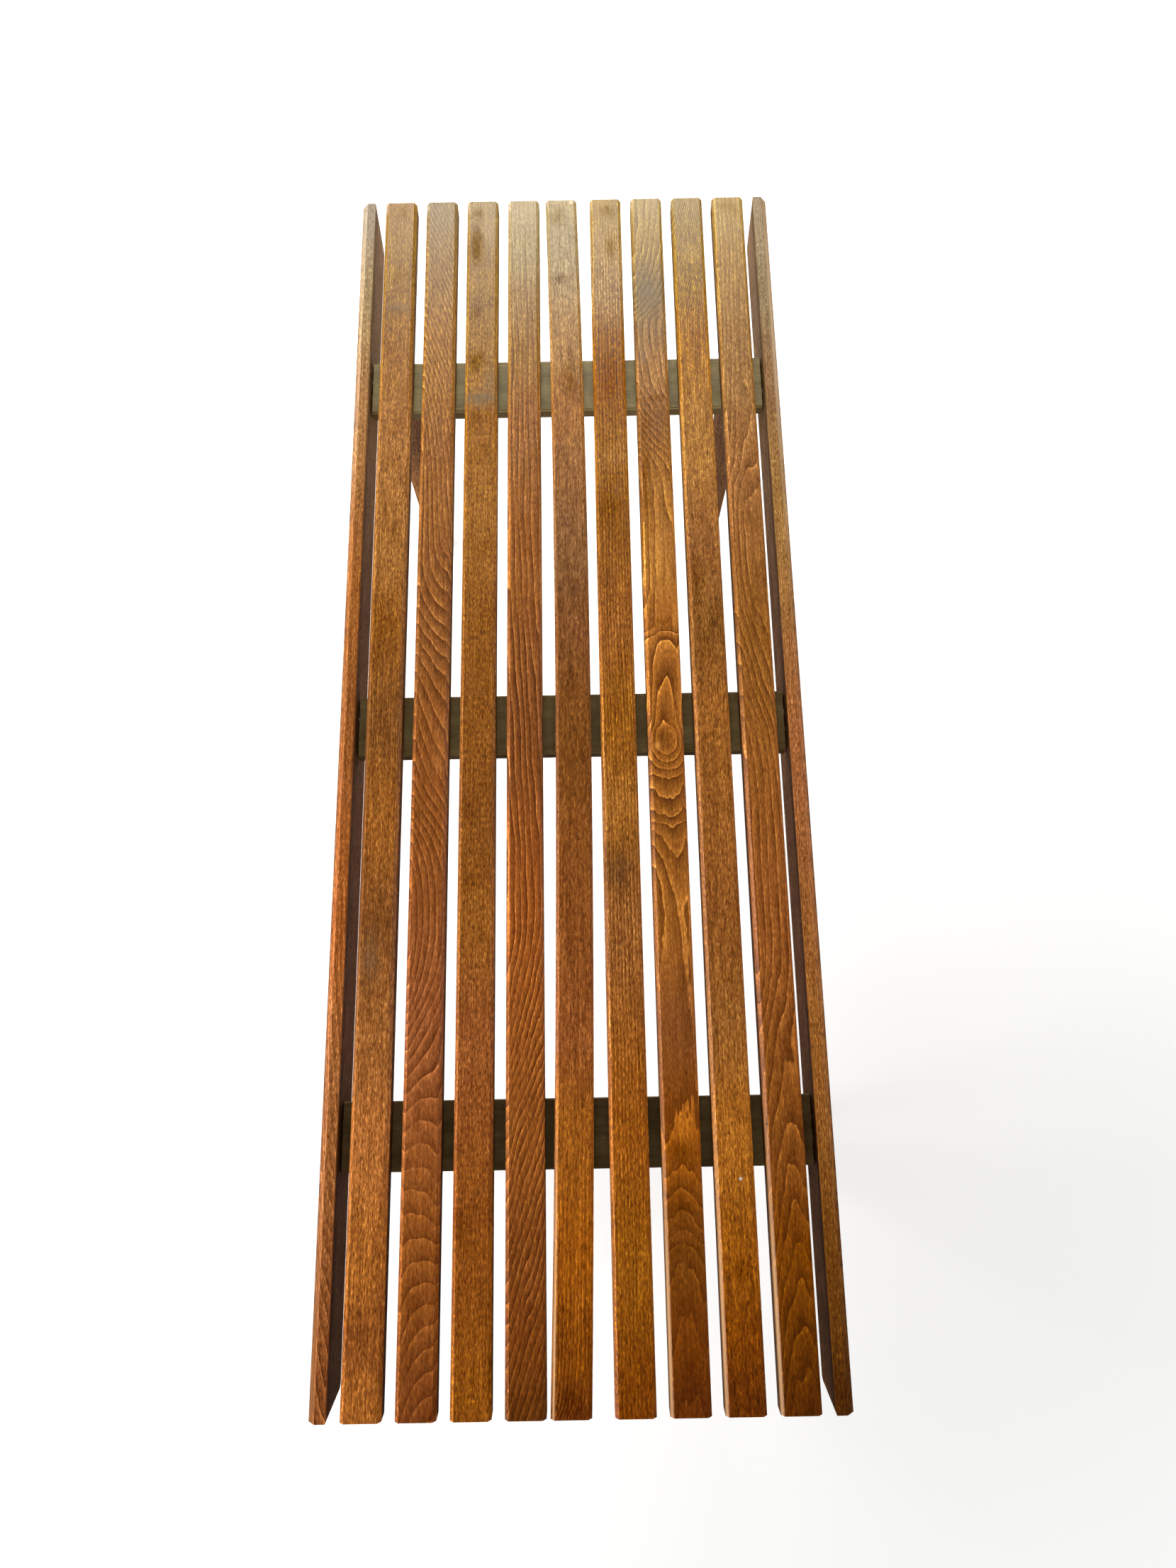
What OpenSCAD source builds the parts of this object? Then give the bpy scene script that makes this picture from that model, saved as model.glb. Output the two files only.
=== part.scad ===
// Slatted wooden bench, also used as a low table.
// Millimetres. X runs across the slats, Y along them and Z up.
// The origin is on the floor, under the middle of the top.

/* [Top] */
// Length of the slats and rails, measured on their top faces
bench_l = 1246; // [1000:1:1500]
// Width over the two rails
bench_w = 458; // [454:1:470]
// Height of the top above the floor
bench_h = 380; // [340:1:460]
// Slope of every slat and rail end, measured from upright
end_slope = 16; // [0:1:25]

/* [Slats] */
// Width of a slat
slat_w = 35; // [30:0.5:38]
// Thickness of a slat
slat_t = 19; // [17:0.5:24]
// Distance between the centre lines of neighbouring slats
slat_pitch = 46.2; // [45.5:0.1:46.4]
// Chamfer along the top edges of a slat
slat_top_chamfer = 3.2; // [1:0.1:5]
// Chamfer along the bottom edges of a slat
slat_bottom_chamfer = 1.5; // [0.5:0.1:4]
// Sideways bow of the middle slat, which has warped, at its half length
warp_bow = 7.8; // [2:0.1:9]
// Sideways shift of the warped slat's half length from the centre line
warp_shift = 1.9; // [0:0.1:3]
// Turn of the warped slat about the vertical, in degrees
warp_turn = 0.19; // [0:0.01:0.25]

/* [Rails] */
// Thickness of a side rail
rail_t = 15; // [14:0.5:17]
// Height of a side rail
rail_h = 62; // [52:1:90]
// Chamfer along the outer top edge of a rail
rail_chamfer = 6; // [1:0.1:8]
// Radius of the rails' lower end corners
rail_corner_r = 8; // [3:1:15]

/* [Battens] */
// Width of a cross batten
batten_w = 62; // [62:1:80]
// Thickness of a cross batten
batten_t = 15; // [15:0.5:20]
// Distance of the end battens' centre lines from the middle of the bench
batten_offset = 393; // [350:1:430]
// Gap between the end of a batten and the face of a rail
batten_end_gap = 1.5; // [1:0.1:2.5]

/* [Legs] */
// Distance of the legs' centre lines from the middle of the bench, across it
leg_x = 184; // [182:0.5:184]
// Diameter of a leg at its top
leg_top_d = 35; // [30:0.5:38]
// Diameter of a leg at the floor
leg_foot_d = 23; // [20:0.5:28]

/* [Hidden] */
$fn = 64;

slats = 9;
middle_slat = (slats + 1) / 2;
battens = [-batten_offset, 0, batten_offset];
stair = tan(end_slope);
skin = 0.05;
rail_arris = 1;
corner_steps = 6;
wood_brown = [0.60, 0.36, 0.18];
rail_brown = [0.54, 0.31, 0.15];
batten_olive = [0.24, 0.21, 0.14];
steel = [0.72, 0.70, 0.66];
nylon = [0.20, 0.19, 0.18];

slat_z = bench_h - slat_t;
batten_z = slat_z - batten_t;
rail_in = bench_w / 2 - rail_t;
batten_l = 2 * (rail_in - batten_end_gap);
batten_arris = 1;

// The warped slat's centre line is part of a circle of this radius.
warp_r = (pow(bench_l / 2, 2) + pow(warp_bow, 2)) / (2 * warp_bow);
warp_sweep = 2 * asin(bench_l / 2 / warp_r) + 0.1;
warp_steps = 16;

// One wood screw holds each slat to each batten from below.
// Screws of neighbouring slats are staggered either side of the batten's centre line.
slat_screw_l = 28;
slat_screw_stagger = 15;
slat_screw_r = 2;
slat_screw_head_r = 4;
slat_screw_head_h = 2.4;
slat_screw_sink = 0.2;
screw_clear_r = 2.3;
slot_w = 0.9;
slot_depth = 1.1;

// Glued dowels join the batten ends to the rails.
dowel_r = 4;
dowel_in_rail = 9;
dowel_in_batten = 20;
dowel_spread = 9;
dowel_end_play = 0.5;
dowel_l = dowel_in_rail + batten_end_gap + dowel_in_batten;
dowel_x = rail_in - batten_end_gap - dowel_in_batten;
dowel_z = batten_z + batten_t / 2;

// Leg plate: a flat steel plate with a threaded barrel that stands up into the batten.
plate_side = 54;
plate_corner_r = 6;
plate_t = 2;
plate_z = batten_z - plate_t;
barrel_r = 6.5;
barrel_rise = 8;
barrel_pocket_r = 7.5;
barrel_pocket_depth = 9.5;
plate_hole_spread = 20;
plate_hole_r = 2.3;
plate_screw_r = 1.9;
plate_screw_l = 12;
plate_screw_head_r = 3.8;
plate_screw_head_h = 2.2;
screw_tip_r = 0.3;

leg_top_soft = 2;
bolt_r = 3.95;
bolt_hole_r = 4;
bolt_in_leg = 32;
bolt_in_plate = plate_t + barrel_rise;

glide_r = 9;
glide_t = 4;
glide_dome_r = 6.5;
glide_nail_r = 1.4;
glide_nail_l = 14;

function slat_x(i) = (i - middle_slat) * slat_pitch;
function stagger(i) = i % 2 == 0 ? -slat_screw_stagger : slat_screw_stagger;
function arc(cx, cy, r, from, to) =
    [for (k = [0 : corner_steps])
        let (a = from + (to - from) * k / corner_steps)
        [cx + r * cos(a), cy + r * sin(a)]];

// Stands a flat outline up in the XZ plane, with its thickness along Y.
module along_y(l) {
    rotate([90, 0, 0]) linear_extrude(l, center = true) children();
}

// Stands a flat outline up in the YZ plane, with its thickness along X.
module along_x(l) {
    rotate([90, 0, 90]) linear_extrude(l, center = true) children();
}

// Cross-section of a slat, centred on X, with its underside at zero.
function slat_section() =
    let (half = slat_w / 2, top = slat_top_chamfer, low = slat_bottom_chamfer)
    [
        [-half + low, 0], [half - low, 0],
        [half, low], [half, slat_t - top],
        [half - top, slat_t], [-half + top, slat_t],
        [-half, slat_t - top], [-half, low]
    ];

// Side view of a slat: both ends slope in towards the bottom.
module slat_side() {
    half = bench_l / 2;
    set_in = slat_t * stair;
    polygon([[-half + set_in, 0], [half - set_in, 0], [half, slat_t], [-half, slat_t]]);
}

// Pilot holes in the underside of slat i.
module slat_pilots(i) {
    depth = slat_screw_l + slat_screw_sink - batten_t + 0.5;
    for (y = battens)
        translate([slat_x(i), y + stagger(i), -1])
            cylinder(r = slat_screw_r + skin, h = depth + 1);
}

module straight_bar() {
    along_y(bench_l + 2) polygon(slat_section());
}

// The slat's section, repeated at stations along the warped centre line.
module warped_bar() {
    section = slat_section();
    sides = len(section);
    points = [
        for (k = [0 : warp_steps])
            let (a = warp_sweep * (k / warp_steps - 0.5))
            for (p = section) [(warp_r + p[0]) * cos(a) - warp_r, (warp_r + p[0]) * sin(a), p[1]]
    ];
    walls = [
        for (k = [0 : warp_steps - 1], j = [0 : sides - 1])
            let (a = k * sides, b = a + sides, next = (j + 1) % sides)
            [a + j, b + j, b + next, a + next]
    ];
    first_end = [for (j = [0 : sides - 1]) j];
    last_end = [for (j = [sides - 1 : -1 : 0]) warp_steps * sides + j];
    rotate([0, 0, -warp_turn])
        translate([warp_shift, 0, 0])
            polyhedron(points, concat([first_end, last_end], walls));
}

module slat(i) {
    color(wood_brown)
        translate([0, 0, slat_z])
            difference() {
                intersection() {
                    if (i == middle_slat) warped_bar();
                    else translate([slat_x(i), 0, 0]) straight_bar();
                    along_x(2 * bench_w) slat_side();
                }
                slat_pilots(i);
            }
}

// Cross-section of the right rail, with its inner face at zero and its foot at zero.
module rail_section() {
    polygon([
        [0, rail_arris], [rail_arris, 0],
        [rail_t - rail_arris, 0], [rail_t, rail_arris],
        [rail_t, rail_h - rail_chamfer], [rail_t - rail_chamfer, rail_h],
        [0, rail_h]
    ]);
}

// Side view of a rail: sloping ends with rounded lower corners.
module rail_side() {
    half = bench_l / 2;
    r = rail_corner_r;
    run = r * (1 / cos(end_slope) + stair);
    low = half - rail_h * stair - run + 2 * r * stair;
    far = arc(low, r, r, -90, -end_slope);
    near = [for (k = [corner_steps : -1 : 0]) [-far[k][0], far[k][1]]];
    polygon(concat(far, [[half, rail_h], [-half, rail_h]], near));
}

module rail() {
    color(rail_brown)
        difference() {
            translate([0, 0, bench_h - rail_h])
                intersection() {
                    translate([rail_in, 0, 0]) along_y(bench_l + 2) rail_section();
                    along_x(2 * bench_w) rail_side();
                }
            for (y = battens) dowel_holes(y);
        }
}

module right_rail() {
    rail();
}

module left_rail() {
    mirror([1, 0, 0]) rail();
}

// The two dowel holes at the right-hand end of the batten at y.
module dowel_holes(y) {
    for (side = [-1, 1])
        translate([dowel_x - dowel_end_play, y + side * dowel_spread, dowel_z])
            rotate([0, 90, 0]) cylinder(r = dowel_r + skin, h = dowel_l + 2 * dowel_end_play);
}

module dowels() {
    color(wood_brown)
        for (y = battens, side = [-1, 1])
            translate([dowel_x, y + side * dowel_spread, dowel_z])
                rotate([0, 90, 0]) cylinder(r = dowel_r, h = dowel_l);
}

module right_rail_dowels() {
    dowels();
}

module left_rail_dowels() {
    mirror([1, 0, 0]) dowels();
}

// Side view of a batten, which is a bar with softened long edges.
module batten_section() {
    half = batten_w / 2;
    a = batten_arris;
    polygon([
        [-half + a, 0], [half - a, 0], [half, a], [half, batten_t - a],
        [half - a, batten_t], [-half + a, batten_t], [-half, batten_t - a], [-half, a]
    ]);
}

// Clearance hole and countersink for one slat screw.
module slat_screw_hole() {
    translate([0, 0, -1]) cylinder(r = screw_clear_r, h = batten_t + 2);
    translate([0, 0, -0.01])
        cylinder(r1 = slat_screw_head_r + 0.3, r2 = screw_clear_r, h = slat_screw_head_h + slat_screw_sink);
}

module batten(y) {
    translate([0, y, 0])
        difference() {
            translate([0, 0, batten_z]) along_x(batten_l) batten_section();
            for (i = [1 : slats])
                translate([slat_x(i), stagger(i), batten_z]) slat_screw_hole();
            dowel_holes(0);
            mirror([1, 0, 0]) dowel_holes(0);
        }
}

// Holes for the leg plates in the underside of an end batten at y.
module leg_plate_pockets(y) {
    for (side = [-1, 1])
        translate([side * leg_x, y, batten_z - 1]) {
            cylinder(r = barrel_pocket_r, h = barrel_pocket_depth + 1);
            plate_hole_places()
                cylinder(r = plate_screw_r + skin, h = plate_screw_l + 1);
        }
}

module end_batten(y) {
    color(batten_olive)
        difference() {
            batten(y);
            leg_plate_pockets(y);
        }
}

module near_batten() {
    end_batten(-batten_offset);
}

module middle_batten() {
    color(batten_olive) batten(0);
}

module far_batten() {
    end_batten(batten_offset);
}

// One slotted countersunk wood screw, head down, with its head's face at zero.
module slat_screw() {
    difference() {
        union() {
            cylinder(r1 = slat_screw_head_r, r2 = slat_screw_r, h = slat_screw_head_h);
            cylinder(r = slat_screw_r, h = slat_screw_l - slat_screw_r);
            translate([0, 0, slat_screw_l - slat_screw_r])
                cylinder(r1 = slat_screw_r, r2 = screw_tip_r, h = slat_screw_r);
        }
        translate([0, 0, slot_depth / 2 - 0.5])
            cube([2 * slat_screw_head_r + 1, slot_w, slot_depth + 1], center = true);
    }
}

module slat_screws(y) {
    color(steel)
        for (i = [1 : slats])
            translate([slat_x(i), y + stagger(i), batten_z + slat_screw_sink])
                rotate([0, 0, 37 * i]) slat_screw();
}

module near_slat_screws() {
    slat_screws(-batten_offset);
}

module middle_slat_screws() {
    slat_screws(0);
}

module far_slat_screws() {
    slat_screws(batten_offset);
}

module plate_hole_places() {
    for (x = [-1, 1], y = [-1, 1])
        translate([x * plate_hole_spread, y * plate_hole_spread, 0]) children();
}

// Moves something centred on a leg's axis to the corner named by its two signs.
module at_corner(side, end) {
    translate([side * leg_x, end * batten_offset, 0]) children();
}

module leg_plate(side, end) {
    color(steel)
        at_corner(side, end)
            difference() {
                translate([0, 0, plate_z]) {
                    linear_extrude(plate_t) plate_outline();
                    cylinder(r = barrel_r, h = plate_t + barrel_rise);
                }
                translate([0, 0, plate_z - 1]) {
                    cylinder(r = bolt_hole_r, h = plate_t + barrel_rise + 2);
                    plate_hole_places() cylinder(r = plate_hole_r, h = plate_t + 2);
                }
            }
}

module plate_outline() {
    side = plate_side - 2 * plate_corner_r;
    square([side, plate_side], center = true);
    square([plate_side, side], center = true);
    for (x = [-1, 1], y = [-1, 1])
        translate([x * side / 2, y * side / 2]) circle(r = plate_corner_r);
}

module hanger_bolts() {
    color(steel)
        for (side = [-1, 1], end = [-1, 1])
            at_corner(side, end)
                translate([0, 0, plate_z - bolt_in_leg])
                    cylinder(r = bolt_r, h = bolt_in_leg + bolt_in_plate);
}

// One slotted pan-head screw that holds a leg plate, head down.
module plate_screw() {
    difference() {
        union() {
            translate([0, 0, -plate_screw_head_h]) cylinder(r = plate_screw_head_r, h = plate_screw_head_h);
            cylinder(r = plate_screw_r, h = plate_screw_l - plate_screw_r);
            translate([0, 0, plate_screw_l - plate_screw_r])
                cylinder(r1 = plate_screw_r, r2 = screw_tip_r, h = plate_screw_r);
        }
        translate([0, 0, -plate_screw_head_h])
            cube([2 * plate_screw_head_r + 1, slot_w, 2 * slot_depth], center = true);
    }
}

module leg_plate_screws() {
    color(steel)
        for (side = [-1, 1], end = [-1, 1])
            at_corner(side, end)
                translate([0, 0, plate_z])
                    plate_hole_places() rotate([0, 0, 25]) plate_screw();
}

// Outline of half a leg above its glide: a straight taper with a softened top edge.
module leg_profile() {
    top_r = leg_top_d / 2;
    foot_r = leg_foot_d / 2;
    soft = leg_top_soft;
    polygon([
        [0, glide_t], [foot_r - soft / 4, glide_t], [foot_r, glide_t + soft / 2],
        [top_r, plate_z - 2 * soft], [top_r - soft / 3, plate_z - soft / 2],
        [top_r - soft, plate_z], [0, plate_z]
    ]);
}

module leg(side, end) {
    color(wood_brown)
        at_corner(side, end)
            difference() {
                rotate_extrude() leg_profile();
                translate([0, 0, plate_z - bolt_in_leg - 1]) cylinder(r = bolt_hole_r, h = bolt_in_leg + 2);
                cylinder(r = glide_nail_r + skin, h = glide_t + glide_nail_l + 0.5);
            }
}

// A nail-on glide: a shallow disc with a nail up into the leg.
module glide(side, end) {
    color(nylon)
        at_corner(side, end)
            union() {
                cylinder(r1 = glide_dome_r, r2 = glide_r, h = glide_t / 2);
                translate([0, 0, glide_t / 2]) cylinder(r = glide_r, h = glide_t / 2);
                cylinder(r = glide_nail_r, h = glide_t + glide_nail_l);
            }
}

slat(1);  // slat_1
slat(2);  // slat_2
slat(3);  // slat_3
slat(4);  // slat_4
slat(5);  // slat_5
slat(6);  // slat_6
slat(7);  // slat_7
slat(8);  // slat_8
slat(9);  // slat_9
left_rail();
right_rail();
near_batten();
middle_batten();
far_batten();
leg(-1, -1);  // near_left_leg
leg(1, -1);  // near_right_leg
leg(-1, 1);  // far_left_leg
leg(1, 1);  // far_right_leg
leg_plate(-1, -1);  // near_left_leg_plate
leg_plate(1, -1);  // near_right_leg_plate
leg_plate(-1, 1);  // far_left_leg_plate
leg_plate(1, 1);  // far_right_leg_plate
hanger_bolts();
leg_plate_screws();
near_slat_screws();
middle_slat_screws();
far_slat_screws();
left_rail_dowels();
right_rail_dowels();
glide(-1, -1);  // near_left_glide
glide(1, -1);  // near_right_glide
glide(-1, 1);  // far_left_glide
glide(1, 1);  // far_right_glide
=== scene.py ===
"""Looks of the slatted bench: stained wood, painted battens, fixings, light and camera."""

import math

import bpy
from mathutils import Matrix, Vector


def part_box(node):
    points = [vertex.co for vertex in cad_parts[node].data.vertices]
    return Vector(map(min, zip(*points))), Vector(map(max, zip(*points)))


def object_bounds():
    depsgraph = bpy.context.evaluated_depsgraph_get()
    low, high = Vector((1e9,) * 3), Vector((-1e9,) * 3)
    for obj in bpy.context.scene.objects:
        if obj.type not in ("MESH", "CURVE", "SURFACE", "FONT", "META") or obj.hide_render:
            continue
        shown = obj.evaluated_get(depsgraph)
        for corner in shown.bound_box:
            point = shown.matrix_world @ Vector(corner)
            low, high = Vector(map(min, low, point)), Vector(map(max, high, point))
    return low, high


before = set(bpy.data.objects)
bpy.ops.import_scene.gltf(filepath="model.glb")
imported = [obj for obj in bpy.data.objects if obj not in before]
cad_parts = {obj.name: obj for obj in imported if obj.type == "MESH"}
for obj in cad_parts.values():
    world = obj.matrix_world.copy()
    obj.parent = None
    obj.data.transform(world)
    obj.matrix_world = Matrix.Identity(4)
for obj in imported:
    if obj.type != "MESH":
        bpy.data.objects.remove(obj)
cad_box = [list(corner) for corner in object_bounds()]

# The bench's ends, in millimetres along it from its middle, and its top, in metres above the floor.
# The camera is over the near half.
FAR = 1000 * cad_box[1][1]
NEAR = -FAR
ENDS = (NEAR, FAR)
BENCH_TOP = cad_box[1][2]


# ---------------------------------------------------------------- shader arithmetic

class Value:
    """A number or a colour in a shader. Arithmetic on it adds the nodes that work it out."""

    def __init__(self, tree, socket):
        self.tree = tree
        self.socket = socket

    def math(self, operation, *others):
        node = self.tree.nodes.new("ShaderNodeMath")
        node.operation = operation
        for slot, value in zip(node.inputs, (self, *others)):
            feed(self.tree, slot, value)
        return Value(self.tree, node.outputs[0])

    def __add__(self, other):
        return self.math("ADD", other)

    def __sub__(self, other):
        return self.math("SUBTRACT", other)

    def __mul__(self, other):
        return self.math("MULTIPLY", other)

    def __truediv__(self, other):
        return self.math("DIVIDE", other)

    def __neg__(self):
        return self.math("MULTIPLY", -1)

    def step(self, start, end):
        """0 at start and 1 at end, turning smoothly between them."""
        node = self.tree.nodes.new("ShaderNodeMapRange")
        node.interpolation_type = "SMOOTHSTEP"
        feed(self.tree, node.inputs["Value"], self)
        node.inputs["From Min"].default_value = start
        node.inputs["From Max"].default_value = end
        return Value(self.tree, node.outputs["Result"])

    def curve(self, points, start=0.0, end=1.0):
        """A smooth curve through points of (this value, result), which lie between start and end."""
        points = sorted(points)
        least = min(value for _, value in points)
        span = max(value for _, value in points) - least
        if span == 0:
            return self * 0 + least
        node = self.tree.nodes.new("ShaderNodeFloatCurve")
        node.mapping.extend = "HORIZONTAL"
        line = node.mapping.curves[0]
        for _ in points[2:]:
            line.points.new(0.5, 0.5)
        for point, (place, value) in zip(line.points, points):
            point.location = ((place - start) / (end - start), (value - least) / span)
            point.handle_type = "AUTO_CLAMPED"
        node.mapping.update()
        feed(self.tree, node.inputs["Value"], (self - start) / (end - start))
        return Value(self.tree, node.outputs[0]) * span + least


def feed(tree, socket, value):
    """Links a Value to a socket, or sets the socket to a plain number or colour."""
    if isinstance(value, Value):
        tree.links.new(value.socket, socket)
    elif socket.type == "RGBA":
        socket.default_value = (*value, 1)
    else:
        socket.default_value = value


def linear(colour):
    """A colour as seen on a screen, 0 to 255, as the light it stands for."""
    return tuple((part / 255) ** 2.2 for part in colour)


# The noise that the materials are drawn with. For each kind: the size of its lumps in millimetres along three
# axes, its detail and its roughness, and an offset that keeps it from lining up with another kind.
# The wood's axes run across the grain, along it and outward.
PATTERNS = {
    "drift": ((16, 110, 16), 1, 0.5, 0),
    "ripple": ((5, 30, 5), 2, 0.5, 7),
    "patches": ((12, 70, 12), 1, 0.5, 3),
    "fibre": ((2, 60, 2), 3, 0.75, 11),
    "grit": ((1.1, 5, 1.1), 2, 0.7, 13),
    "dashes": ((0.9, 6, 0.9), 1, 0.5, 17),
    "flecks": ((1, 5, 1), 1, 0.5, 23),
    "mottle": ((14, 26, 14), 3, 0.6, 29),
    "wear_and_highlight": ((2, 3, 2), 2, 0.5, 31),
    "brush strokes": ((45, 1.3, 1.3), 3, 0.6, 0),
    "uneven paint": ((30, 18, 30), 2, 0.5, 0),
    "dust": ((1.3, 1.3, 1.3), 1, 0.5, 0),
    "brushed steel": ((0.3, 3, 3), 2, 0.5, 0),
    "tarnish": ((6, 6, 6), 2, 0.5, 0),
    "moulding": ((0.4, 0.4, 0.4), 2, 0.5, 0),
}
# How many stops red, green and blue each change by for a stop of stain. A darker stain is also a redder one.
STAIN_POWERS = (1, 1.18, 1.4)


class Shader:
    """A material in the making. place is where on the piece it is, in millimetres along x, y and z."""

    def __init__(self, name):
        self.material = bpy.data.materials.new(name)
        self.material.use_nodes = True
        self.tree = self.material.node_tree
        self.surface = self.tree.nodes["Principled BSDF"]
        metres = self.tree.nodes.new("ShaderNodeTexCoord").outputs["Object"]
        split = self.tree.nodes.new("ShaderNodeSeparateXYZ")
        self.tree.links.new(metres, split.inputs[0])
        self.place = [Value(self.tree, part) * 1000 for part in split.outputs]
        self.x, self.y, self.z = self.place

    def vector(self, x, y, z):
        node = self.tree.nodes.new("ShaderNodeCombineXYZ")
        for slot, value in zip(node.inputs, (x, y, z)):
            feed(self.tree, slot, value)
        return Value(self.tree, node.outputs[0])

    def pattern(self, kind, place, seed=0.0):
        """One of PATTERNS: noise about zero, from -1 to 1 at the most. Another seed draws it differently."""
        size, detail, rough, offset = PATTERNS[kind]
        node = self.tree.nodes.new("ShaderNodeTexNoise")
        node.inputs["Scale"].default_value = 1
        node.inputs["Detail"].default_value = detail
        node.inputs["Roughness"].default_value = rough
        scaled = [part * (1 / length) + (seed + offset) for part, length in zip(place, size)]
        feed(self.tree, node.inputs["Vector"], self.vector(*scaled))
        return Value(self.tree, node.outputs["Fac"]) * 2 - 1

    def ramp(self, value, stops, start, end):
        """A colour that changes smoothly through stops of (value, colour), all between start and end."""
        node = self.tree.nodes.new("ShaderNodeValToRGB")
        node.color_ramp.interpolation = "EASE"
        stops = sorted(stops)
        elements = node.color_ramp.elements
        while len(elements) < len(stops):
            elements.new(0.5)
        for element, (place, colour) in zip(elements, stops):
            element.position = (place - start) / (end - start)
            element.color = (*linear(colour), 1)
        feed(self.tree, node.inputs[0], (value - start) / (end - start))
        return Value(self.tree, node.outputs["Color"])

    def mix(self, share, first, second):
        """first where share is 0 and second where it is 1, for colours."""
        node = self.tree.nodes.new("ShaderNodeMix")
        node.data_type = "RGBA"
        feed(self.tree, node.inputs["Factor"], share)
        feed(self.tree, node.inputs[6], first)
        feed(self.tree, node.inputs[7], second)
        return Value(self.tree, node.outputs[2])

    def stained(self, colour, stops):
        """colour made lighter or darker by that many stops, with the tint that STAIN_POWERS gives."""
        base = self.tree.nodes.new("ShaderNodeValue")
        base.outputs[0].default_value = 2.0
        two = Value(self.tree, base.outputs[0])
        depth = [two.math("POWER", stops * power) for power in STAIN_POWERS]
        node = self.tree.nodes.new("ShaderNodeVectorMath")
        node.operation = "MULTIPLY"
        feed(self.tree, node.inputs[0], colour)
        feed(self.tree, node.inputs[1], self.vector(*depth))
        return Value(self.tree, node.outputs[0])

    def bump(self, height, depth):
        """Raises the surface by height times depth, in millimetres."""
        node = self.tree.nodes.new("ShaderNodeBump")
        node.inputs["Strength"].default_value = 1.0
        node.inputs["Distance"].default_value = depth / 1000
        feed(self.tree, node.inputs["Height"], height)
        self.tree.links.new(node.outputs[0], self.surface.inputs["Normal"])

    def glow(self, strength):
        """Makes the surface give off white light of that strength."""
        self.surface.inputs["Emission Color"].default_value = (1, 1, 1, 1)
        feed(self.tree, self.surface.inputs["Emission Strength"], strength)

    def finish(self, colour, roughness, specular=0.5):
        """The material, with its last looks set."""
        feed(self.tree, self.surface.inputs["Base Color"], colour)
        feed(self.tree, self.surface.inputs["Roughness"], roughness)
        self.surface.inputs["Specular IOR Level"].default_value = specular
        return self.material


# ---------------------------------------------------------------- wood

# How light a growth ring is across its width, in stops: dark just outside the last one, palest near its end.
RING_TONE = [(0, -0.95), (0.12, -0.65), (0.4, -0.15), (0.75, 0.2), (0.9, 0.5), (0.96, 0.8), (1, 0.75)]
RING_STOPS = 2.2
# How many rings the drift moves at a wobble of 1, and how many pass in each millimetre outward.
DRIFT_RINGS = 3.0
OUTWARD_RINGS = 0.12
# The share of the rings that still shows between their clear patches.
FAINT_RINGS = 0.4

# The noise values between which each of these patterns goes from nothing to full.
PATCH_RANGE = (-0.5, 0.3)
DASH_RANGE = (0.12, 0.42)
FLECK_RANGE = (0.14, 0.45)
WEAR_AND_HIGHLIGHT_RANGE = (-0.1, 0.3)

# How strongly the fine patterns show, in stops. Flecks lighten the wood and dashes darken it.
FIBRE_STOPS = 1.4
GRIT_STOPS = 2.2
FLECK_STOPS = 0.66
DASH_STOPS = 1.1
OVERALL_STOPS = -0.02

# Pale wear by the top edges of a slat, strongest on the left edges, where it is also a painted highlight of
# the
# light from the left: how much there is at each place across it, and its stops along it.
WEAR_AND_HIGHLIGHT_ACROSS = [(-16.6, 0.3), (-15.6, 1), (-14.2, 1), (-13.4, 0), (13.8, 0), (14.4, 0.4), (15.2, 0)]
WEAR_AND_HIGHLIGHT_ALONG = [(NEAR, 1.2), (-450, 0.65), (300, 0.65), (FAR, 0.3)]
SLAT_EDGES = (-17.5, 17.5)

# A side has its own tones, and is darker and duller than the top. Its darkness is painted shade, and the
# paleness of its tones toward the far end is a painted sheen. The top turns into the side between these
# places, in millimetres outward from the top face.
SIDE_RANGE = (-3, -7)
SIDE_SHADE_STOPS = -0.8
SHADED_SIDE_TONES = [
    (NEAR, (115, 70, 15)), (-200, (145, 90, 40)), (100, (150, 100, 50)), (450, (180, 140, 90)),
    (FAR, (195, 155, 110)),
]
# A leg counts as a side all round, painted shade included, when its places are moved inward by this much.
LEG_DEPTH = 100

# How far the mottle pushes the outline of a spot or a dull place, in millimetres across and along.
MOTTLE_SHIFT = (5, 14)
DULL_COLOUR = (118, 104, 80)

# Roughness, with what a side, the mottle and the dashes add to it, and what a stop of a spot adds along the
# bench: a dark spot is glossier than the wood around it, but at the far end it is duller.
WOOD_ROUGHNESS = 0.31
SIDE_ROUGHNESS = 0.35
MOTTLE_ROUGHNESS = 0.12
DASH_ROUGHNESS = 0.05
SPOT_ROUGHNESS = [(470, 0.35), (530, -0.9)]
WOOD_SPECULAR = 0.4
# How high the grain stands, in millimetres, and the shares of its height that each pattern makes up.
GRAIN_RELIEF = 0.06
RING_SHARE = 0.2
FIBRE_SHARE = 0.5
FLECK_SHARE = 0.3

SLATS = 9
# This slat is warped, and its grain bows sideways by that many millimetres.
WARPED_SLAT = "slat_5"
WARP_BOW = 7.8

# A mark for a left edge that is pale at the near end: a painted highlight of the light from the left.
LIT_LEFT_EDGE = (-16.2, -550, 1.2, 130, (190, 146, 98))
# The fine grain of the slats whose growth rings are clear.
FIGURED_GRAIN = [(NEAR, 0.7), (200, 0.75), (350, 0.9), (FAR, 0.5)]
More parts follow.
